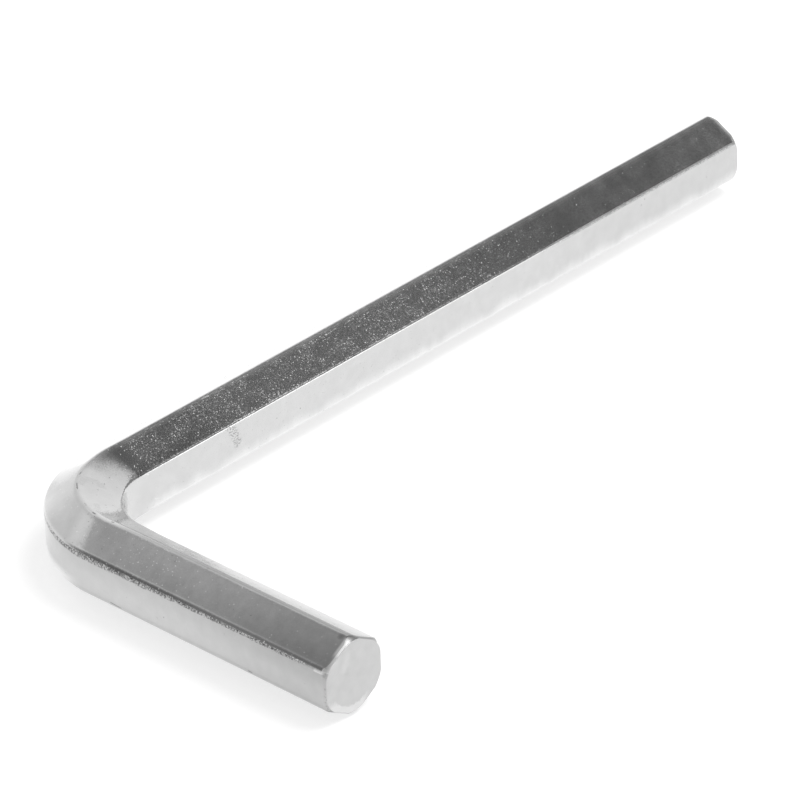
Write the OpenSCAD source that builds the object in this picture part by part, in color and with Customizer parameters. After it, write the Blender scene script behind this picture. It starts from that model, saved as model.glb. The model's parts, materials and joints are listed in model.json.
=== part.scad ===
// L-shaped hex key: one length of drawn hexagonal steel bar, bent cold to a right angle,
// with a small turned chamfer on each end.
// It lies as it rests, on two corners of the hexagon, with the long arm along +X and the
// short arm along -Y. The origin is under the middle of its box, on the surface it lies on.
// All lengths are in millimetres.

/* [Bar] */
// Size across two opposite flats of the hexagon, which is the size of screw that it turns
across_flats = 5; // [3:0.5:8]
// How far rounding takes each corner of the hexagon in from a sharp one
corner_rounding = 0.05; // [0.02:0.01:0.12]

/* [Arms] */
// Long arm, from its end face to the outer flat of the short arm
long_arm = 70; // [50:1:160]
// Short arm, from its end face to the outer flat of the long arm
short_arm = 30; // [22:1:45]
// Radius of the bend at the inner flat
bend_radius = 4; // [1:0.5:8]

/* [Ends] */
// How far the chamfer reaches in from the flats, at the end face
chamfer_cut = 0.1; // [0.02:0.01:0.4]
// Angle between the chamfer and the length of the bar
chamfer_angle = 30; // [15:5:60]

/* [Hidden] */
$fn = 96;

// Radius to a sharp corner of the hexagon, and to a rounded one
sharp_r = across_flats / sqrt(3);
corner_r = sharp_r - corner_rounding;

// Radius of the round end face inside its chamfer
face_r = across_flats / 2 - chamfer_cut;

// Radius of the bend at the middle of the bar, and at the outer flat
axis_r = bend_radius + across_flats / 2;
outer_r = bend_radius + across_flats;

// Straight stretches, from the end of the bend to each end face
long_straight = long_arm - outer_r;
short_straight = short_arm - outer_r;

// Section of the bar: two corners point up and down, two flats face left and right,
// and a circle through the hexagon takes the sharpness off its corners
module section() {
    intersection() {
        rotate(90) circle(r = sharp_r, $fn = 6);
        circle(r = corner_r);
    }
}

// Straight bar that rises along Z, cut back at its far end to a turned cone,
// so that the chamfer leaves a curved edge on each flat and a short facet on each corner
module arm(length) {
    intersection() {
        linear_extrude(length) section();
        cylinder(r1 = face_r + length * tan(chamfer_angle), r2 = face_r, h = length);
    }
}

// Quarter turn of the bar about the Z axis, from +Y round to -X
module bend() {
    rotate(90) rotate_extrude(angle = 90) translate([axis_r, 0]) section();
}

// The whole bar, with the centre of its bend at the origin
module bent_bar() {
    bend();
    translate([0, axis_r, 0]) rotate([0, 90, 0]) rotate(90) arm(long_straight);
    translate([-axis_r, 0, 0]) rotate([90, 0, 0]) arm(short_straight);
}

module hex_key() {
    color("silver")
        translate([outer_r - long_arm / 2, short_arm / 2 - outer_r, corner_r])
            bent_bar();
}

hex_key();
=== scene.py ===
# %% [markdown]
# A plated hex key, made in Blender round its CAD model
#
# The real object is one length of drawn hexagonal steel bar. It is cut off, turned to a small
# chamfer at each end, bent cold to a right angle and plated. It lies on white paper on two of
# its corners, under soft light from a white tent with a dark opening above.
#
# The CAD model already has the right shape and size. This script loads it as a fixed frame and
# makes the part's looks round it: the rounded corners, the worn and grainy plating with light
# and shade painted into its colour, and the surroundings that a mirror-like metal needs before
# it looks like metal at all.

# %% Load the CAD model as the fixed frame
import json
import math

import bpy
from mathutils import Matrix, Vector


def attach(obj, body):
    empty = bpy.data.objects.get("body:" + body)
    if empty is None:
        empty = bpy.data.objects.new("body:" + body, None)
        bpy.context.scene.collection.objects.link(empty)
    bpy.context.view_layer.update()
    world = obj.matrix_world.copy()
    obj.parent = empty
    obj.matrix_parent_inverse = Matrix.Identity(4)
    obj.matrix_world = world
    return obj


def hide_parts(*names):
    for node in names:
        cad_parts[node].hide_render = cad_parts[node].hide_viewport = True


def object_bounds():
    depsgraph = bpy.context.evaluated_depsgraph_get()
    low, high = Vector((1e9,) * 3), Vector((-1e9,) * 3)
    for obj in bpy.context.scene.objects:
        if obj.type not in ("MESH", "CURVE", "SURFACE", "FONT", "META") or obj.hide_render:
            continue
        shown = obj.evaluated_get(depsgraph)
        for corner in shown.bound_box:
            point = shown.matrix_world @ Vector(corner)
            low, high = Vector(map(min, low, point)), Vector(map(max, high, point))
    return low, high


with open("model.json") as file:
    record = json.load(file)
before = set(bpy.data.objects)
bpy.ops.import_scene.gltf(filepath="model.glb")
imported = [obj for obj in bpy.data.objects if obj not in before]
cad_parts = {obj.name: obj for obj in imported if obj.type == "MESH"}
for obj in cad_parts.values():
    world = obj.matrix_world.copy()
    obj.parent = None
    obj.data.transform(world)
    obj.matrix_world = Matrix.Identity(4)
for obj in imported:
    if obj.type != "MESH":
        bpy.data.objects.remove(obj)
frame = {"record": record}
cad_low, cad_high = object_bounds()
print("CAD box in mm:", [round(side * 1000, 3) for side in cad_high - cad_low])

# %% [markdown]
# Sizes
#
# All lengths are in metres, in the frame of the CAD model: the long arm points along +X, the
# short arm along -Y, and the key lies on z = 0. What the frame knows is read from it, so that
# the looks can't drift from the CAD model: the box gives the width of the bar, and the mounts on
# the two end faces give the lines that the arms follow. Only the inner radius of the bend is
# written here, and the small forms of the ends and corners are written with the bar. The visible
# bar stays a hair inside the CAD box.

# %% Read the sizes of the key from the frame
MM = 0.001
HAIR = 0.002 * MM
INNER_BEND_RADIUS = 4 * MM
mounts = {mount["name"]: Vector(mount["pos_m"]) for mount in frame["record"]["mounts"]}
long_end = mounts["long_end_face"]
short_end = mounts["short_end_face"]
half_flats = cad_high.y - long_end.y - HAIR
axis_bend_radius = INNER_BEND_RADIUS + half_flats
outer_corner = Vector((short_end.x, long_end.y, long_end.z))
bend_centre = outer_corner + Vector((axis_bend_radius, -axis_bend_radius, 0))
long_straight = long_end.x - bend_centre.x - HAIR
short_straight = bend_centre.y - short_end.y - HAIR
bend_length = axis_bend_radius * math.pi / 2
print("across the flats in mm:", round(half_flats * 2 / MM, 3))
print("straight arms in mm:", round(long_straight / MM, 2), round(short_straight / MM, 2))

# %% [markdown]
# Node trees written as sums
#
# Geometry Nodes and shaders share their Math nodes. Adding such nodes one by one hides the
# formula that they stand for, so a small class wraps a socket and overloads the operators:
# an expression such as 1 - mask * 0.5 adds its own Math nodes. Every other node comes from one
# method. It sets the node's settings before its sockets, because a setting can change which
# sockets the node shows.

# %% A socket that can stand in a sum
class Value:
    """A node's output in a Python expression. Each operator adds one Math node."""

    def __init__(self, graph, socket):
        self.graph = graph
        self.socket = socket

    def math(self, operation, *others, first=None):
        inputs = [self if first is None else first, *others]
        return self.graph.add("ShaderNodeMath", {"operation": operation}, dict(enumerate(inputs)))

    def __add__(self, other):
        return self.math("ADD", other)

    def __radd__(self, other):
        return self.math("ADD", self, first=other)

    def __sub__(self, other):
        return self.math("SUBTRACT", other)

    def __rsub__(self, other):
        return self.math("SUBTRACT", self, first=other)

    def __mul__(self, other):
        return self.math("MULTIPLY", other)

    def __rmul__(self, other):
        return self.math("MULTIPLY", self, first=other)

    def __truediv__(self, other):
        return self.math("DIVIDE", other)

    def __pow__(self, power):
        return self.math("POWER", power)

    def __neg__(self):
        return self.math("MULTIPLY", -1.0)

    def __abs__(self):
        return self.math("ABSOLUTE")

    def smaller(self, other):
        return self.math("MINIMUM", other)

    def larger(self, other):
        return self.math("MAXIMUM", other)

    def step(self, low, high):
        """Rises smoothly from 0 at low to 1 at high."""
        inputs = {"Value": self, "From Min": low, "From Max": high}
        return self.graph.add("ShaderNodeMapRange", {"interpolation_type": "SMOOTHSTEP"}, inputs)

    def fade(self, low, high):
        """Falls smoothly from 1 at low to 0 at high."""
        return 1 - self.step(low, high)

    def bump(self, middle, width):
        """A soft hill: 1 in the middle, 0 from width away from it."""
        return abs(self - middle).fade(0.0, width)

    def share(self, start, length):
        """Rises evenly from 0 at start to 1 at start + length."""
        return self.graph.add("ShaderNodeClamp", {}, {"Value": (self - start) / length})

    def also(self, output):
        """Another output of the same node."""
        return Value(self.graph, self.socket.node.outputs[output])


print("made the class", Value.__name__)

# %% A node tree, with the one method that adds nodes to it
def socket_named(sockets, key):
    """The socket at a number, or the first shown one with that name."""
    if isinstance(key, int):
        return sockets[key]
    return next(socket for socket in sockets if socket.enabled and socket.name == key)


class Graph:
    """A node tree that starts empty. Nodes come from add, and the rest are short forms of it."""

    def __init__(self, tree):
        self.tree = tree
        self.tree.nodes.clear()

    def add(self, kind, settings=None, inputs=None, output=0):
        node = self.tree.nodes.new(kind)
        for name, setting in (settings or {}).items():
            setattr(node, name, setting)
        for key, value in (inputs or {}).items():
            socket = socket_named(node.inputs, key)
            if isinstance(value, Value):
                self.tree.links.new(value.socket, socket)
            else:
                socket.default_value = value
        if not node.outputs:
            return None
        return Value(self, socket_named(node.outputs, output))

    def vector(self, x, y, z):
        return self.add("ShaderNodeCombineXYZ", {}, {"X": x, "Y": y, "Z": z})

    def parts(self, vector):
        whole = self.add("ShaderNodeSeparateXYZ", {}, {"Vector": vector})
        return [whole.also(name) for name in ("X", "Y", "Z")]

    def vector_math(self, operation, *vectors, output="Vector"):
        return self.add("ShaderNodeVectorMath", {"operation": operation}, dict(enumerate(vectors)), output)

    def scaled(self, vector, factor):
        inputs = {"Vector": vector, "Scale": factor}
        return self.add("ShaderNodeVectorMath", {"operation": "SCALE"}, inputs, "Vector")

    def noise(self, place, scale, detail=2.0, roughness=0.5):
        inputs = {"Vector": place, "Scale": scale, "Detail": detail, "Roughness": roughness}
        return self.add("ShaderNodeTexNoise", {}, inputs, "Fac")


def strongest(values):
    """The largest of several values at each point."""
    top = values[0]
    for value in values[1:]:
        top = top.larger(value)
    return top


print("made the class", Graph.__name__, "and the function", strongest.__name__)

# %% [markdown]
# The plated steel
#
# The finish is a thin bright plating over drawn steel. One even mirror would look like plastic,
# because what shows on such a bar is how unevenly it mirrors. The material does that at the
# sizes of the real thing: grains of a tenth of a millimetre that catch the light one by one,
# fine scratches, soft waves a few millimetres long, and a base colour with painted light and
# shade, lighter in some places and darker in others. A photographed texture could show all this
# too, but it would bring its own light along and fit only one bar.
#
# All patterns read Object coordinates or the bar's own UV map, so they stay on the metal from
# every side. U is a ruler along the bar, from the far end face: the bend lies between 61 and
# 71 mm, and the near end face at 92 mm. V runs once round the bar.

# %% Start the plated steel and lay the ruler along the bar
BAR_MAP = "bar"
TURNED = "turned"
steel = bpy.data.materials.new("plated_steel")
steel.use_nodes = True
metal = Graph(steel.node_tree)
place = metal.add("ShaderNodeTexCoord", {}, {}, "Object")
along, around = metal.parts(metal.add("ShaderNodeUVMap", {"uv_map": BAR_MAP}, {}, "UV"))[:2]
turned = metal.add("ShaderNodeAttribute", {"attribute_name": TURNED}, {}, "Fac")
bar_length = (long_straight + bend_length + short_straight) / MM
at = along / MM
to_end = bar_length - at
on_side = at.step(0.0, 0.05) * to_end.step(0.0, 0.05)
on_long = at.fade(59.4, 61.4)
on_short = at.step(69.5, 73.0)
near_bend = at.step(16, 36)
print("length of the bar in mm:", round(bar_length, 2))

# %% Name the flats and corners round the section, twelve places in all
PLACES = 12
FOOT_OUTER, FLAT_OUTER, CORNER_OUTER, SLOPE_OUTER, RIDGE = (n / PLACES for n in (3, 4, 5, 6, 7))
SLOPE_INNER, CORNER_INNER, FLAT_INNER, FOOT_INNER = (n / PLACES for n in (8, 9, 10, 11))
round_the_bar = 12 * half_flats * math.tan(math.pi / 6) / MM


def aside(middle):
    """How far round the bar a point lies from one of those places, roughly in mm.

    The rounded corners take up more of this scale than they measure.
    """
    return (around - middle) * round_the_bar


print("round the section in mm:", round(round_the_bar, 2))


# %% Masks in the form of a stripe and of a straight stroke
def stripe(middle, half_width, edge):
    """1 along a stripe of the bar, with soft edges. Both widths are in mm."""
    return abs(aside(middle)).fade(half_width, half_width + edge)


def stroke(middle, start_at, start_aside, end_at, end_aside, width):
    """1 on a straight stroke, given in mm along the bar and aside from one of the places."""
    soft_end = 0.1
    run_at = end_at - start_at
    run_aside = end_aside - start_aside
    length = math.hypot(run_at, run_aside)
    gone = at - start_at
    beside = aside(middle) - start_aside
    forward = (gone * run_at + beside * run_aside) / length
    sideways = abs(beside * run_at - gone * run_aside) / length
    inside = forward.step(-soft_end, soft_end) * forward.fade(length - soft_end, length + soft_end)
    return inside * sideways.fade(width * 0.5, width * 1.5)


def strokes(table):
    """Several strokes as one mask."""
    return strongest([stroke(*row) for row in table])


print("material nodes so far:", len(steel.node_tree.nodes))

# %% [markdown]
# Grains and crumbs
#
# Drawing pulls the steel through a die and leaves its surface a little broken. The plating
# follows every grain, so each one mirrors another part of the surroundings. Bumps from a fine
# noise would do that only as a grey average. Here a Voronoi texture cuts the surface into cells,
# and each cell leans the normal by its own random amount, so that single grains flash.
#
# The grains lie in patches on the long arm and thin out at the bend, where pressing has smoothed
# the metal. A row of coarser crumbs runs along the outer corner of the short arm.

# %% The row of crumbs along the outer corner
row_waver = metal.noise(metal.vector(at / 1.1, 0.0, 0.0), 1.0, detail=3.0)
row_width = (0.43 - 0.16 * at.step(72, 82)) * (0.4 + 1.2 * row_waver)
off_row = abs(aside(CORNER_OUTER) + row_width * 0.45) / row_width
crumb_row = off_row.fade(0.40, 0.80) * at.step(66, 69) * at.fade(89.5, 91.0)
print("material nodes with the crumbs:", len(steel.node_tree.nodes))

# %% The grains that flash, and the finer ones between them
GRAIN = 0.09 * MM
FINE_GRAIN = 0.065 * MM
PATCH = 1.2 * MM


def lean_of(cells, depth):
    """The small lean of each grain, from the random colour of its cell."""
    return metal.scaled(metal.vector_math("SUBTRACT", cells, (0.5, 0.5, 0.5)), depth)


plain_side = on_side * (1 - turned) * (1 - stripe(CORNER_INNER, 0.16, 0.12))
patches = metal.noise(place, 1 / PATCH, detail=4.0, roughness=0.6).step(0.36, 0.64)
grain_cell = metal.add("ShaderNodeTexVoronoi", {}, {"Vector": place, "Scale": 1 / GRAIN}, "Color")
grain_chance = metal.add("ShaderNodeTexWhiteNoise", {}, {"Vector": grain_cell.also("Position")}, "Value")
share_on_long = (0.14 + 0.32 * patches) * (0.03 + 0.97 * near_bend)
share_elsewhere = 0.04 + 0.14 * patches * at.bump(77.0, 4.0)
grain_share = share_on_long * on_long + (1 - on_long) * share_elsewhere + 0.001
picked = (1 - grain_chance / grain_share).larger(0.0)
flash = picked * grain_cell.also("Distance").fade(0.35, 0.55) * plain_side
fine_cell = metal.add("ShaderNodeTexVoronoi", {}, {"Vector": place, "Scale": 1 / FINE_GRAIN}, "Color")
fine_depth = (0.03 + on_long * near_bend * (0.06 + 0.05 * patches)) * plain_side + crumb_row * 0.36
grain_lean = metal.vector_math("ADD", lean_of(grain_cell, flash * 0.95), lean_of(fine_cell, fine_depth))
print("material nodes with the grains:", len(steel.node_tree.nodes))

# %% [markdown]
# Scratches and waves
#
# The die leaves fine streaks along the bar, and handling a few scratches. Both lean the normal
# sideways. The plating also rolls gently, by a hundredth of a millimetre over some two
# millimetres, and at the start of the bend its surface rises a little. These go through one Bump
# node, because modelled waves so shallow would need far more triangles for the same look.

# %% Streaks from the drawing die, and three deeper scratches
SCRATCH_LEAN = (0.0, -0.30, 0.0)
SCRATCHES = [
    (SLOPE_INNER, 47.6, 0.6, 48.1, 1.3, 0.06),
    (SLOPE_INNER, 52.9, -0.87, 52.2, -0.80, 0.06),
    (SLOPE_INNER, 41.3, -0.60, 40.2, -0.65, 0.02),
]
streak_place = metal.vector(at / 2.6, aside(0.0) / 0.07, 0.0)
streaks = metal.noise(streak_place, 1.0, detail=1.0).step(0.66, 0.74) * on_long * near_bend * patches
scratch_lean = metal.scaled(SCRATCH_LEAN, strokes(SCRATCHES).larger(streaks * 0.4))
print("scratches:", len(SCRATCHES), "material nodes with them:", len(steel.node_tree.nodes))

# %% Soft waves, and the normal that the plating mirrors by
WAVE = 2.2 * MM
SMALL_WAVE = 0.5 * MM
normal = metal.add("ShaderNodeNewGeometry", {}, {}, "Normal")
leaning = metal.vector_math("ADD", normal, metal.vector_math("ADD", grain_lean, scratch_lean))
waves = metal.noise(place, 1 / WAVE, detail=1.0) * 0.010 * MM
small_waves = metal.noise(place, 1 / SMALL_WAVE, detail=2.0) * 0.0012 * MM
bend_rise = at.step(59.4, 63.6) * 0.10 * MM
bump_inputs = {
    "Strength": 1.0,
    "Distance": 1.0,
    "Height": waves + small_waves + bend_rise,
    "Normal": metal.vector_math("NORMALIZE", leaning),
}
surface_normal = metal.add("ShaderNodeBump", {}, bump_inputs, "Normal")
print("material nodes with the waves:", len(steel.node_tree.nodes))

# %% [markdown]
# Marks
#
# Dirt and small damage are darker than the plating round them, and so is a line along the inner
# corner. Each is a mask: a number from 0 to 1 over the surface, made from the ruler along the
# bar and the places round it. Strokes with a start and an end do for the single marks that the
# photograph shows, and noise for the rest: the grit at their edges, the gaps in the darker line
# along the inner corner, and the pits. An image could be painted with them instead, but masks
# stay sharp from close by and need no file.

# %% A darker line along the inner corner, which widens to a wedge at the bend
GRIT = 0.13 * MM
grit = metal.noise(place, 1 / GRIT, detail=3.0)
gaps = metal.noise(metal.vector(at / 1.8, 0.0, 0.0), 1.0, detail=2.0).step(0.50, 0.60)
corner_dark_line = abs(aside(CORNER_INNER) + 0.24).fade(0.04, 0.20) * gaps * at.step(32, 40) * at.fade(58, 60)
wedge_width = 0.10 + 0.44 * at.bump(61.5, 3.6)
off_wedge = aside(CORNER_INNER) + wedge_width * 0.65 + (grit - 0.5) * 0.70
wedge = (abs(off_wedge) / wedge_width).fade(0.45, 0.9) * at.step(56.0, 59.5) * at.fade(69.0, 72.0)
print("material nodes with the dirt:", len(steel.node_tree.nodes))

# %% Nicks, smears and the one smudge
NICKS = [
    (RIDGE, 65.9, 0.10, 66.6, 0.20, 0.10),
    (RIDGE, 64.6, 0.30, 64.9, 0.10, 0.08),
    (RIDGE, 69.6, 0.10, 69.9, 0.10, 0.10),
    (RIDGE, 71.3, 0.25, 71.5, 0.25, 0.10),
    (FLAT_OUTER, 85.5, -1.10, 85.9, -1.18, 0.10),
    (FLAT_OUTER, 73.4, -1.10, 74.4, -1.22, 0.07),
]
SMEARS = [
    (SLOPE_INNER, 66.0, -0.85, 65.1, -0.62, 0.18),
    (SLOPE_INNER, 65.1, -0.62, 64.9, -0.05, 0.22),
    (SLOPE_INNER, 64.9, -0.05, 65.6, 0.10, 0.18),
    (SLOPE_INNER, 68.2, -0.30, 69.3, -0.55, 0.14),
]
nicks = strokes(NICKS)
smears = strokes(SMEARS)
smudge = stroke(FLAT_INNER, 52.8, -1.40, 51.9, 0.20, 0.32) * grit.step(0.46, 0.60)
print("nicks:", len(NICKS), "smears:", len(SMEARS))

# %% Pits, and a broken line along the lower corners
PIT_SPACING = 0.7 * MM
pit_cell = metal.add("ShaderNodeTexVoronoi", {}, {"Vector": place, "Scale": 1 / PIT_SPACING}, "Distance")
pit_chance = metal.add("ShaderNodeTexWhiteNoise", {}, {"Vector": pit_cell.also("Position")}, "Value")
pits = pit_cell.fade(0.04, 0.10) * pit_chance.step(0.84, 0.86)
broken = metal.noise(metal.vector(at / 0.35, around * 400, 0.0), 1.0, detail=1.0).step(0.54, 0.62)
foot_lines = stripe(FOOT_INNER, 0.04, 0.08) * on_long + stripe(FOOT_OUTER, 0.04, 0.08) * at.step(66, 70)
dashes = foot_lines * broken
print("material nodes with the marks:", len(steel.node_tree.nodes))

# %% [markdown]
# The ends of the bar
#
# The ends were cut and turned after the bar was drawn. Their chamfers and rim have painted
# highlights and painted shade, with a few dark specks near the rim, and the near end face has a
# lighter crescent at its lower left and a painted shadow on its lower rim. A second material
# could begin at the chamfer, but it would begin with a hard edge. So the same material blends
# these places in by masks, and most of them count from the near end face.

# %% Painted highlights and painted shade on the turned ends
# Painted highlights: a bright lens on the chamfer by the ridge, a lighter outer chamfer and a glint by the
# outer corner.
lens = abs(aside(RIDGE) + 0.90).fade(0.45, 0.95) * to_end.fade(0.25, 0.45)
chamfer_painted_light = to_end.fade(0.15, 0.30) * stripe(SLOPE_OUTER, 1.3, 0.2)
corner_painted_glint = stroke(CORNER_OUTER, 91.2, -0.20, 92.0, -0.16, 0.13)
# Painted shade: dark lines and bands on the chamfers and a dark patch by the ridge. The rim specks are dark
# specks.
top_line_painted_shade = stripe(SLOPE_INNER, 1.1, 0.4) * 0.48
end_band_painted_shade = to_end.fade(0.36, 0.62) * stripe(FLAT_OUTER, 1.4, 0.2) * 0.26
rim_specks = to_end.fade(0.16, 0.26) * grit.step(0.50, 0.62) * on_side * stripe(FLAT_OUTER, 1.5, 0.2) * 0.50
ridge_end_painted_shade = abs(aside(RIDGE) + 0.35).fade(0.20, 0.60) * to_end.bump(0.70, 0.55) * 0.50
print("material nodes with the chamfers:", len(steel.node_tree.nodes))

# %% The crescent on the near end face, and the painted shadow on its lower rim
place_x, place_z = metal.parts(place)[::2]
face_across = place_x / MM - short_end.x / MM
face_up = place_z / MM - short_end.z / MM + (grit - 0.5) * 0.5
face_radius = (face_across * face_across + face_up * face_up).math("SQRT")
crescent = face_radius.step(1.90, 2.08) * face_up.fade(-1.4, -0.8) * face_across.fade(0.5, 1.4)
crescent = crescent * (1 - on_side)
# Painted shadow: the lower rim of the near end is darker. It joins the chamfers' painted shade and the rim
# specks.
low_rim_painted_shadow = face_up.fade(-1.7, -1.0) * on_short * 0.55
ends_painted_shade_and_specks = strongest([turned * top_line_painted_shade.larger(low_rim_painted_shadow), end_band_painted_shade, ridge_end_painted_shade, rim_specks])
print("material nodes with the ends:", len(steel.node_tree.nodes))

# %% [markdown]
# Painted light and shade
#
# Much of the colour here is painted light and shade. Painted reflections and highlights make
# the plating lighter in some places, and painted shade makes it darker in others. The places and
# widths were read off the photograph. The strongest light mask and the strongest dark mask win
# at each point, which keeps overlaps from adding up to white or black.

# %% Painted reflections and highlights
# Painted light: each mask lightens the colour as a painted reflection of the bright ground or walls.
foot_waver = (metal.noise(metal.vector(at / 2.4, 0.0, 0.0), 1.0, detail=3.0) - 0.5) * 1.1
foot_painted_light = (abs(aside(FOOT_INNER)) + foot_waver).fade(0.34, 1.14) * on_long
bend_foot_painted_light = stripe(FOOT_OUTER, 0.45, 0.70) * at.fade(68.9, 71.2)
bend_flat_painted_light = stripe(FLAT_OUTER, 1.30, 0.20) * at.bump(65.0, 1.4)
bend_low_painted_light = aside(CORNER_OUTER).fade(0.5, 1.4) * stripe(SLOPE_OUTER, 1.35, 0.15) * at.bump(66.2, 1.8)
bend_ridge_painted_light = abs(aside(RIDGE) + 0.60).fade(0.30, 0.90) * at.fade(62.4, 64.2)
bend_top_painted_light = stripe(SLOPE_INNER, 1.35, 0.20) * at.step(62, 64) * at.fade(71.5, 73.0)
top_amount = 0.03 + 0.07 * at.step(69.5, 70.5) * aside(SLOPE_INNER).fade(-0.2, 0.8)
slanted = at + aside(SLOPE_OUTER) * 0.46
bend_end_painted_light = stripe(SLOPE_OUTER, 1.40, 0.12) * slanted.step(69.0, 70.0) * slanted.fade(70.4, 70.8)
outer_slope_painted_light = stripe(SLOPE_OUTER, 1.44, 0.12) * at.fade(62.4, 64.6)
strip_edge_painted_light = stripe(CORNER_INNER, 0.1, 0.8) * on_short
corner_painted_light = abs(aside(CORNER_OUTER) - 0.18).fade(0.10, 0.28) * at.step(76, 89)
inner_turn_painted_light = stroke(SLOPE_INNER, 69.0, 0.2, 69.9, 1.1, 0.7)
print("material nodes with the lighter places:", len(steel.node_tree.nodes))

# %% The strongest of the painted light
painted_light = strongest([
    foot_painted_light * 0.19,
    bend_foot_painted_light * 0.45,
    bend_flat_painted_light * 0.10,
    bend_low_painted_light * 0.12,
    bend_ridge_painted_light * 0.50,
    bend_top_painted_light * top_amount,
    bend_end_painted_light * 0.10,
    outer_slope_painted_light * 0.28,
    strip_edge_painted_light * 0.25,
    corner_painted_light * 0.25,
    inner_turn_painted_light * 0.05,
    corner_painted_glint * 0.30,
    lens * 0.65,
    chamfer_painted_light * 0.18,
])
print("material nodes with their strongest:", len(steel.node_tree.nodes))

# %% Painted shade on the short arm
# Painted shade: the outer slope darker near its corner and the end, the outer flat darker towards the end
# and the corner, the inner strip darker by the ridge.
slope_low = aside(CORNER_OUTER).fade(0.2, 2.2) * 0.20 * at.step(71, 78) + at.step(80, 91.5) * 0.25
corner_painted_shade = aside(CORNER_OUTER).fade(0.05, 0.75) * (0.42 - 0.22 * at.step(74, 88)) * (0.6 + 0.8 * grit)
slope_painted_shade = stripe(SLOPE_OUTER, 1.35, 0.15) * on_short * slope_low.larger(corner_painted_shade)
flat_low = 0.145 + 0.12 * at.step(78, 91) + 0.11 * (-aside(CORNER_OUTER)).fade(0.2, 1.8)
flat_painted_shade = stripe(FLAT_OUTER, 1.30, 0.20) * at.step(65.4, 68.5) * flat_low
strip_low = aside(RIDGE).fade(0.3, 2.7) * (0.08 + 0.17 * at.step(71.5, 76) + 0.16 * at.step(74, 81))
strip_painted_shade = strip_low * aside(RIDGE).step(-0.20, 0.15) * on_short
print("material nodes with the short arm:", len(steel.node_tree.nodes))

# %% Painted shade on the long arm
# Painted shade: the inner slope darker towards the far end and round the wedge, and the inner flat darker
# at the far end.
long_low = 0.14 + 0.18 * (1 - near_bend) + 0.12 * at.step(51.5, 54) * at.fade(57.5, 60)
near_wedge = stripe(CORNER_INNER, 0.5, 0.9) * at.step(53, 56) * 0.16
long_painted_shade = stripe(SLOPE_INNER, 1.30, 0.15) * on_long * (long_low + near_wedge)
far_flat_painted_shade = stripe(FLAT_INNER, 1.20, 0.20) * at.fade(4, 30) * 0.07
# The far inner corner is rougher and also takes painted shade, which dims its highlight.
soft_corner = stripe(CORNER_INNER, 0.30, 0.25) * at.fade(16, 24)
print("material nodes with the long arm:", len(steel.node_tree.nodes))

# %% The strongest of the marks and the painted shade
marks_and_painted_shade = strongest([
    wedge * (0.38 + 0.30 * at.step(60.6, 62.2)),
    corner_dark_line * 0.40,
    nicks * 0.6,
    pits * 0.5,
    smudge * 0.45,
    dashes * 0.3,
    smears * (0.04 + 0.05 * grit.step(0.35, 0.60)),
    crumb_row * (0.28 + 0.40 * grit.step(0.42, 0.58)),
    soft_corner * (0.12 + 0.30 * grit.step(0.40, 0.60)),
    slope_painted_shade,
    flat_painted_shade,
    strip_painted_shade,
    long_painted_shade,
    far_flat_painted_shade,
    ends_painted_shade_and_specks,
])
print("material nodes with all masks:", len(steel.node_tree.nodes))

# %% [markdown]
# Shade, roughness and the shader
#
# A metal in the Principled shader has its mirror's tint as base colour, and this one is a plain
# grey with faint clouds in it, lightened by the painted light and darkened by the painted shade
# and marks. The roughness is low, a little higher where the metal was ground, bent or rubbed.
# Both are sums of the masks above.

# %% Put the plated steel together
PLAIN_SHADE = 0.655
PLAIN_ROUGHNESS = 0.10
CLOUD = 0.8 * MM
FAR_CLOUD = 2.0 * MM
far_slope = stripe(SLOPE_INNER, 1.30, 0.15) * (1 - near_bend)
far_clouds = (metal.noise(place, 1 / FAR_CLOUD, detail=3.0) - 0.5) * far_slope * 0.45
cloud_depth = 0.09 + 0.12 * on_short * stripe(SLOPE_OUTER, 1.35, 0.15)
clouds = (metal.noise(place, 1 / CLOUD, detail=4.0) - 0.5) * cloud_depth
plain = PLAIN_SHADE + clouds - (1 - on_side) * 0.10 + crescent * 0.13
shade = (plain + (far_clouds + painted_light) * on_side) * (1 - marks_and_painted_shade * on_side)
colour = metal.add("ShaderNodeCombineColor", {}, {"Red": shade, "Green": shade, "Blue": shade}, "Color")
matt_corners = stripe(CORNER_OUTER, 0.30, 0.30) * at.step(67, 70) + stripe(RIDGE, 0.50, 0.40)
matt_bend = at.bump(62.5, 3.2)
roughness = PLAIN_ROUGHNESS + on_long * 0.11 + turned * 0.20 + soft_corner * 0.25
roughness = roughness + matt_corners * 0.10 + matt_bend * 0.11
shader_inputs = {"Base Color": colour, "Metallic": 1.0, "Roughness": roughness, "Normal": surface_normal}
plating = metal.add("ShaderNodeBsdfPrincipled", {}, shader_inputs, "BSDF")
metal.add("ShaderNodeOutputMaterial", {}, {"Surface": plating})
print("material nodes in the plated steel:", len(steel.node_tree.nodes))

# %% [markdown]
# The bar
#
# Its shape follows one rule: a hexagon with rounded corners travels along a line that goes
# straight, turns a quarter circle and goes straight again, and a cone trims both ends. Sweeping
# a profile curve along a path curve would do the sweep but not the cone, and it would leave the
# shape of every ring to the path. So the tree starts from a flat grid and moves each point to
# its place by formula. One counter of the grid numbers the rings along the bar, the other goes
# round each ring, and where the sheet closes, its edges are merged.
#
# Rings are spent where the shape needs them: close together at the chamfers and in the bend,
# wide apart along the straight arms.

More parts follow.
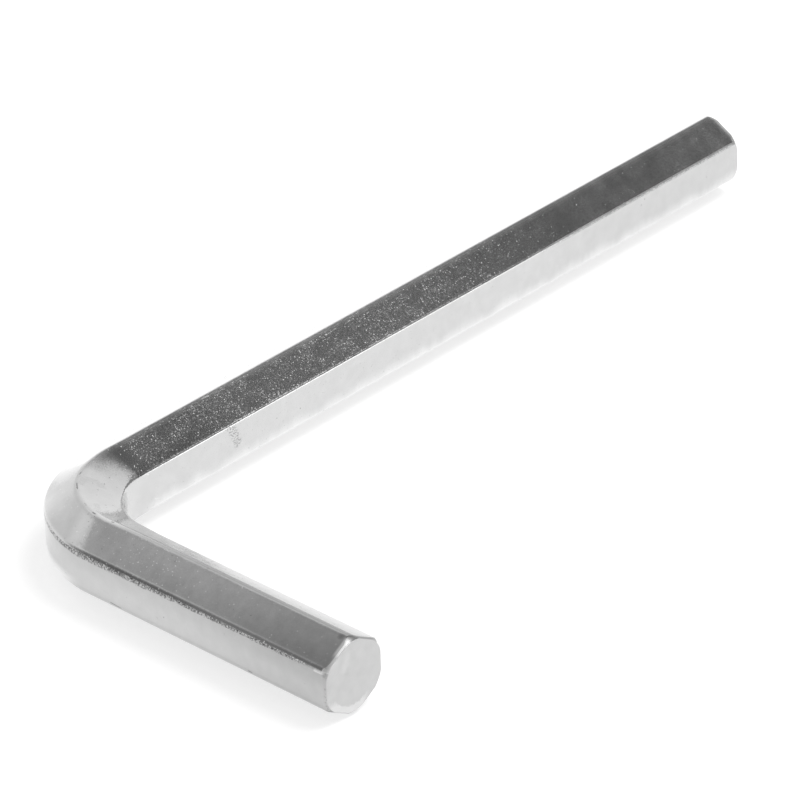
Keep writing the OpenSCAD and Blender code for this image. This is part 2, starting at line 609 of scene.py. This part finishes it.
# %% Rings along the bar and points round it
CORNERS = 6
POINTS_PER_CORNER = 28
FILLET_POINTS = 12
POINTS_ROUND = CORNERS * POINTS_PER_CORNER
FACE_RINGS = 6
RIM_RINGS = 8
CHAMFER_RINGS = 30
LONG_RINGS = 190
BEND_RINGS = 110
SHORT_RINGS = 120
END_RINGS = RIM_RINGS + CHAMFER_RINGS
RING_STEPS = 2 * FACE_RINGS + 2 * END_RINGS + LONG_RINGS + BEND_RINGS + SHORT_RINGS
print("rings:", RING_STEPS + 1, "points round:", POINTS_ROUND)

# %% Start the tree of the bar, with named inputs for its sizes
half_corner = math.pi / CORNERS
sharp_radius = half_flats / math.cos(half_corner)
corner_radius = (cad_high.z - cad_low.z) / 2 - HAIR
sizes = {
    "Half across flats": half_flats,
    "Corner fillet": (sharp_radius - corner_radius) / (1 / math.cos(half_corner) - 1),
    "Bend radius": axis_bend_radius,
    "Long straight": long_straight,
    "Short straight": short_straight,
    "Face radius": 2.60 * MM,
    "Chamfer slope": math.tan(math.radians(24)),
    "Chamfer length": 0.85 * MM,
    "Rim rounding": 0.11 * MM,
    "Softer corners": 0.45 * MM,
    "Outward bulge": 0.30 * MM,
    "Inward bulge": 0.20 * MM,
    "Dents": 0.03 * MM,
}
bar_tree = bpy.data.node_groups.new("bent_hexagonal_bar", "GeometryNodeTree")
bar = Graph(bar_tree)
bar_tree.interface.new_socket("Geometry", in_out="OUTPUT", socket_type="NodeSocketGeometry")
size_sockets = {}
for name in sizes:
    made = bar_tree.interface.new_socket(name, in_out="INPUT", socket_type="NodeSocketFloat")
    size_sockets[name] = made.identifier
group_input = bar_tree.nodes.new("NodeGroupInput")
size = {name: Value(bar, group_input.outputs[name]) for name in sizes}
print("inputs of the bar, lengths in mm:", {name: round(value / MM, 3) for name, value in sizes.items()})

# %% Number the grid's points along and round the bar
grid_inputs = {
    "Size X": 1.0,
    "Size Y": 1.0,
    "Vertices X": RING_STEPS + 1,
    "Vertices Y": POINTS_ROUND + 1,
}
grid = bar.add("GeometryNodeMeshGrid", {}, grid_inputs, "Mesh")
grid_x, grid_y = bar.parts(bar.add("GeometryNodeInputPosition"))[:2]
ring = (grid_x + 0.5) * RING_STEPS
round_share = grid_y + 0.5
print("tree nodes with the grid:", len(bar_tree.nodes))

# %% Turn the number of a ring into its distance along the bar
arc = size["Bend radius"] * (math.pi / 2)
total = size["Long straight"] + arc + size["Short straight"]
rim_length = size["Rim rounding"] * 2
chamfer_rest = size["Chamfer length"] - rim_length
stretches = [
    (RIM_RINGS, rim_length),
    (CHAMFER_RINGS, chamfer_rest),
    (LONG_RINGS, size["Long straight"] - size["Chamfer length"]),
    (BEND_RINGS, arc),
    (SHORT_RINGS, size["Short straight"] - size["Chamfer length"]),
    (CHAMFER_RINGS, chamfer_rest),
    (RIM_RINGS, rim_length),
]
distance = 0.0
first_ring = FACE_RINGS
for rings, length in stretches:
    distance = ring.share(first_ring, rings) * length + distance
    first_ring += rings
print("stretches of rings:", [rings for rings, length in stretches])

# %% The rounded hexagon, with softer corners past the bend
sector = (round_share * CORNERS).math("FLOOR")
across = (round_share * CORNERS - sector) * 2 - 1
fillet_share = FILLET_POINTS / POINTS_PER_CORNER
lean = (across / fillet_share).larger(-1.0).smaller(1.0) * half_corner
past_fillet = (abs(across) - fillet_share).larger(0.0) / (1 - fillet_share) * across.math("SIGN")
past_bend = distance.step(size["Long straight"] + arc * 0.3, size["Long straight"] + arc * 1.1)
fillet = size["Corner fillet"] + size["Softer corners"] * past_bend
inside = size["Half across flats"] - fillet
slide = past_fillet * inside * math.tan(half_corner)
fillet_centre = inside / math.cos(half_corner)
lean_sin = lean.math("SINE")
lean_cos = lean.math("COSINE")
corner_x = fillet_centre + fillet * lean_cos - slide * lean_sin
corner_y = fillet * lean_sin + slide * lean_cos
turn = sector * (2 * half_corner) - math.pi / 2
turn_cos = turn.math("COSINE")
turn_sin = turn.math("SINE")
section_out = corner_x * turn_cos - corner_y * turn_sin
section_up = corner_x * turn_sin + corner_y * turn_cos
radius = (section_out * section_out + section_up * section_up).math("SQRT")
print("tree nodes with the section:", len(bar_tree.nodes))

# %% The cone and the rounded rim that trim each end
CONE_BLEND = 0.04 * MM
TURNED_DEPTH = 0.02 * MM
from_end = distance.smaller(total - distance)
rim = size["Rim rounding"]
rim_drop = rim * (0 - from_end / rim).math("EXPONENT")
cone = size["Face radius"] + from_end * size["Chamfer slope"]
trimmed = radius.math("SMOOTH_MIN", cone, CONE_BLEND) - rim_drop
face_share = ring.share(0, FACE_RINGS) * (RING_STEPS - ring).share(0, FACE_RINGS)
face_factor = 1 - (1 - face_share) * (1 - face_share)
scale = trimmed / radius * face_factor
off_face = face_share.step(0.95, 1.0)
turned_away = ((radius - trimmed) / TURNED_DEPTH).share(0.4, 1.0) * off_face
print("tree nodes with the ends:", len(bar_tree.nodes))

# %% [markdown]
# What bending did to the section
#
# Cold bending pushes metal about. On this key the top and the foot of the bend lean outward, the
# inner side swells inward and up, and the surface has shallow dents from the bend on. Such forms
# could be left to a bump in the material, but modelled ones also change the outline and what a
# flat mirrors over its whole width. Three inputs set how strong they are, and 0 takes them away.

# %% The bulges of the bend
bend_share = (distance - size["Long straight"]) / arc
hill = bend_share.bump(0.55, 0.75)
upness = abs(section_up) / radius
inner_side = (0 - section_out / radius).larger(0.0)
bulge = hill * (size["Outward bulge"] * upness ** 4 - size["Inward bulge"] * inner_side * inner_side)
inner_rise = hill * size["Inward bulge"] * inner_side * (section_up / radius).larger(0.0) * 1.6
print("tree nodes with the bulges:", len(bar_tree.nodes))

# %% The path: straight, a quarter turn, straight
angle = ((distance - size["Long straight"]) / size["Bend radius"]).larger(0.0).smaller(math.pi / 2)
before = (size["Long straight"] - distance).larger(0.0)
after = (distance - size["Long straight"] - arc).larger(0.0)
out = (section_out * scale + bulge).smaller(size["Half across flats"])
reach = size["Bend radius"] + out
point_x = bend_centre.x + before - angle.math("SINE") * reach
point_y = bend_centre.y - after + angle.math("COSINE") * reach
point_z = long_end.z + section_up * scale + inner_rise
print("tree nodes with the path:", len(bar_tree.nodes))

# %% Store the map and the turned places, and move the points
map_inputs = {"Geometry": grid, "Name": BAR_MAP, "Value": bar.vector(distance, round_share, 0.0)}
map_settings = {"data_type": "FLOAT2", "domain": "CORNER"}
mapped = bar.add("GeometryNodeStoreNamedAttribute", map_settings, map_inputs, "Geometry")
mark_inputs = {"Geometry": mapped, "Name": TURNED, "Value": turned_away}
mark_settings = {"data_type": "FLOAT", "domain": "POINT"}
marked = bar.add("GeometryNodeStoreNamedAttribute", mark_settings, mark_inputs, "Geometry")
move_inputs = {"Geometry": marked, "Position": bar.vector(point_x, point_y, point_z)}
placed = bar.add("GeometryNodeSetPosition", {}, move_inputs, "Geometry")
print("tree nodes with the moved points:", len(bar_tree.nodes))

# %% Shallow dents, from the bend on
DENT = 1.1 * MM
dent_noise = bar.noise(bar.add("GeometryNodeInputPosition"), 1 / DENT, detail=1.0) - 0.5
dent_region = distance.step(size["Long straight"] - 1 * MM, size["Long straight"] + 2 * MM)
dent_depth = size["Dents"] * dent_noise.smaller(0.0) * dent_region * off_face
dent_inputs = {"Geometry": placed, "Offset": bar.scaled(bar.add("GeometryNodeInputNormal"), dent_depth)}
dented = bar.add("GeometryNodeSetPosition", {}, dent_inputs, "Geometry")
print("tree nodes with the dents:", len(bar_tree.nodes))

# %% Close the sheet, smooth it and give it its finish
MERGE_DISTANCE = 0.0005 * MM
merge_inputs = {"Geometry": dented, "Distance": MERGE_DISTANCE}
closed = bar.add("GeometryNodeMergeByDistance", {}, merge_inputs, "Geometry")
smooth = bar.add("GeometryNodeSetShadeSmooth", {}, {"Geometry": closed, "Shade Smooth": True}, "Geometry")
real = bar.add("GeometryNodeRealizeInstances", {}, {"Geometry": smooth}, "Geometry")
finished = bar.add("GeometryNodeSetMaterial", {}, {"Geometry": real, "Material": steel}, "Geometry")
bar.add("NodeGroupOutput", {}, {"Geometry": finished})
print("tree nodes in the bar:", len(bar_tree.nodes))

# %% Run the tree once and keep its result as a plain mesh
carrier = bpy.data.objects.new("bar_tree_carrier", bpy.data.meshes.new("empty"))
bpy.context.scene.collection.objects.link(carrier)
modifier = carrier.modifiers.new("bar", "NODES")
modifier.node_group = bar_tree
for name, value in sizes.items():
    modifier[size_sockets[name]] = value
evaluated = carrier.evaluated_get(bpy.context.evaluated_depsgraph_get())
bar_mesh = bpy.data.meshes.new_from_object(evaluated)
carrier.modifiers.remove(modifier)
bpy.data.objects.remove(carrier)
hex_key = bpy.data.objects.new("plated_hex_key", bar_mesh)
bpy.context.scene.collection.objects.link(hex_key)
triangles = sum(len(polygon.vertices) - 2 for polygon in bar_mesh.polygons)
print("bar: vertices", len(bar_mesh.vertices), "triangles", triangles)
print("UV maps:", [layer.name for layer in bar_mesh.uv_layers])

# %% [markdown]
# The ground
#
# The key lies on white paper that runs out of the picture on all sides. A diffuse plane alone
# would render grey, and more light would burn the metal out. So the plane adds a plain white
# glow that only camera, mirrored and transmitted rays see. The rest of its tone is real diffuse
# light, which is missing close under the key, and that keeps the soft shadow.

# %% Floor
GLOW = 0.60
PAPER_GREY = (0.5, 0.5, 0.5, 1.0)
HALF_FLOOR = 3.0
floor_mesh = bpy.data.meshes.new("ground")
corners = [(-HALF_FLOOR, -HALF_FLOOR, 0), (HALF_FLOOR, -HALF_FLOOR, 0)]
corners += [(HALF_FLOOR, HALF_FLOOR, 0), (-HALF_FLOOR, HALF_FLOOR, 0)]
floor_mesh.from_pydata(corners, [], [(0, 1, 2, 3)])
floor = bpy.data.objects.new("ground", floor_mesh)
bpy.context.scene.collection.objects.link(floor)
paper = bpy.data.materials.new("white_paper")
paper.use_nodes = True
paper_graph = Graph(paper.node_tree)
camera_rays = paper_graph.add("ShaderNodeLightPath", {}, {}, "Is Camera Ray")
seen = strongest([camera_rays, camera_rays.also("Is Glossy Ray"), camera_rays.also("Is Transmission Ray")])
paper_face = paper_graph.add("ShaderNodeBsdfDiffuse", {}, {"Color": PAPER_GREY}, "BSDF")
paper_glow = paper_graph.add("ShaderNodeEmission", {}, {"Strength": seen * GLOW}, "Emission")
both = paper_graph.add("ShaderNodeAddShader", {}, {0: paper_face, 1: paper_glow}, "Shader")
paper_graph.add("ShaderNodeOutputMaterial", {}, {"Surface": both})
floor_mesh.materials.append(paper)
print("floor side in m:", HALF_FLOOR * 2)

# %% [markdown]
# The light
#
# What a bright metal shows is its surroundings, so they are the main part of its look. On the
# upright flats the key mirrors the white ground, on the bend the white walls of the tent, and on
# the slanted flats the dark opening above. A few lamps over a black world would leave the flats
# black with bright spots, so the world paints the whole tent by direction instead.
#
# Directions are in degrees: the azimuth turns from +Y towards +X, the elevation rises from the
# horizon. The left wall stays lighter than the right one. A lit panel low on the right gives the
# thin bright line along the inner corner, and camera rays see plain white everywhere.

# %% Directions in the world
world = bpy.data.worlds.new("light_tent")
bpy.context.scene.world = world
world.use_nodes = True
tent = Graph(world.node_tree)
direction = tent.add("ShaderNodeTexCoord", {}, {}, "Generated")
east, north, up = tent.parts(direction)
elevation = up.math("ARCSINE") * (180 / math.pi)
azimuth = east.math("ARCTAN2", north) * (180 / math.pi)


def towards(azimuth_degrees, elevation_degrees, inner, outer):
    """1 within the inner angle of that direction, 0 beyond the outer one."""
    way = math.radians(azimuth_degrees)
    rise = math.radians(elevation_degrees)
    aim = (math.sin(way) * math.cos(rise), math.cos(way) * math.cos(rise), math.sin(rise))
    nearness = tent.vector_math("DOT_PRODUCT", direction, aim, output="Value")
    return nearness.step(math.cos(math.radians(outer)), math.cos(math.radians(inner)))


def painted(under, shade, mask):
    """A shade laid over another one where the mask is 1."""
    return under + (shade - under) * mask


print("world nodes for the directions:", len(world.node_tree.nodes))

# %% The walls of the tent, with the dark opening above them
left_wall = 0.98 - 0.22 * elevation.step(8, 32) - 0.12 * elevation.step(39, 46)
left_wall = left_wall - 0.16 * elevation.step(45.2, 46.4) - 0.06 * elevation.step(48, 53)
opening_edge = 43 - 24 * azimuth.step(104, 124)
right_wall = 0.98 - 0.08 * elevation.step(10, 30)
right_wall = right_wall - 0.80 * (elevation - opening_edge).step(-5.5, 3.0)
wall = painted(left_wall, right_wall, towards(110, 0, 46, 102))
print("world nodes with the walls:", len(world.node_tree.nodes))

# %% Darker and brighter places in the tent
dark_side = towards(-48, 26, 8, 22)
dark_camera = towards(-118, 20, 8, 16)
bright_above = towards(-170, 72, 24, 34)
bright_front = towards(146, 50, 12, 20)
lit_panel = abs(azimuth - 153).fade(13, 16) * abs(elevation - 12).fade(4, 8)
strength = wall * (1 - 0.74 * dark_side) * (1 - 0.50 * dark_camera)
strength = painted(strength, 0.90, bright_above)
strength = painted(strength, 1.70, bright_front)
strength = painted(strength, 2.8, lit_panel)
print("world nodes with all places:", len(world.node_tree.nodes))

# %% Plain white for the camera's own rays
WHITE = (1.0, 1.0, 1.0, 1.0)
sky_rays = tent.add("ShaderNodeLightPath", {}, {}, "Is Camera Ray")
sky_inputs = {"Color": WHITE, "Strength": painted(strength, 1, sky_rays)}
backdrop = tent.add("ShaderNodeBackground", {}, sky_inputs, "Background")
tent.add("ShaderNodeOutputWorld", {}, {"Surface": backdrop})
print("world nodes:", len(world.node_tree.nodes))

# %% [markdown]
# The lamp
#
# The tent lights the key from all sides and leaves hardly any shadow. The photograph has a soft
# one, so one broad lamp stands high on the right. It is hidden from mirrored rays, because the
# metal should show the tent and no lamp.

# %% A soft lamp from the right
LAMP_AZIMUTH = math.radians(140)
LAMP_ELEVATION = math.radians(66)
LAMP_DISTANCE = 0.8
lamp_data = bpy.data.lights.new("soft_lamp", "AREA")
lamp_data.shape = "DISK"
lamp_data.size = 0.4
lamp_data.energy = 2.7
lamp = bpy.data.objects.new("soft_lamp", lamp_data)
lamp_way = Vector((
    math.sin(LAMP_AZIMUTH) * math.cos(LAMP_ELEVATION),
    math.cos(LAMP_AZIMUTH) * math.cos(LAMP_ELEVATION),
    math.sin(LAMP_ELEVATION),
))
lamp.location = lamp_way * LAMP_DISTANCE
lamp.rotation_mode = "QUATERNION"
lamp.rotation_quaternion = lamp_way.to_track_quat("Z", "Y")
lamp.visible_camera = False
lamp.visible_glossy = False
bpy.context.scene.collection.objects.link(lamp)
print("lamp in W:", lamp_data.energy)

# %% [markdown]
# The camera
#
# The photograph was taken from some way off with a long lens, from the side that the short arm
# points to, and the camera was rolled by two degrees. The place, the view and the lens come from
# a least-squares fit of the CAD edges to the photographed ones. The lens is known in pixels, as
# such a fit gives it, and becomes millimetres on a sensor of the usual width.

# %% Camera
ROLL = math.radians(-2.02)
PICTURE = 800
FOCAL_PIXELS = 4980.5
CAMERA_PLACE = Vector((-213.80, -192.65, 170.39)) * MM
VIEW_OUT = Vector((0.62483832, 0.596106, -0.50421692))
level_right = Vector((VIEW_OUT.y, -VIEW_OUT.x, 0)).normalized()
level_up = level_right.cross(VIEW_OUT).normalized()
right = level_right * math.cos(ROLL) + level_up * math.sin(ROLL)
upward = level_up * math.cos(ROLL) - level_right * math.sin(ROLL)
camera_data = bpy.data.cameras.new("camera")
camera_data.sensor_width = 36.0
camera_data.lens = FOCAL_PIXELS / PICTURE * camera_data.sensor_width
camera_data.clip_start = 0.01
camera_data.clip_end = 20.0
camera = bpy.data.objects.new("camera", camera_data)
camera_turn = Matrix((right, upward, -VIEW_OUT)).transposed().to_4x4()
camera.matrix_world = Matrix.Translation(CAMERA_PLACE) @ camera_turn
bpy.context.scene.collection.objects.link(camera)
bpy.context.scene.camera = camera
bpy.context.scene.view_settings.view_transform = "Standard"
print("lens in mm:", round(camera_data.lens, 1))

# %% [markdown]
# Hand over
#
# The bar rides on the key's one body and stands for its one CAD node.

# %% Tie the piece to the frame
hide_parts("hex_key")
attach(hex_key, "root")
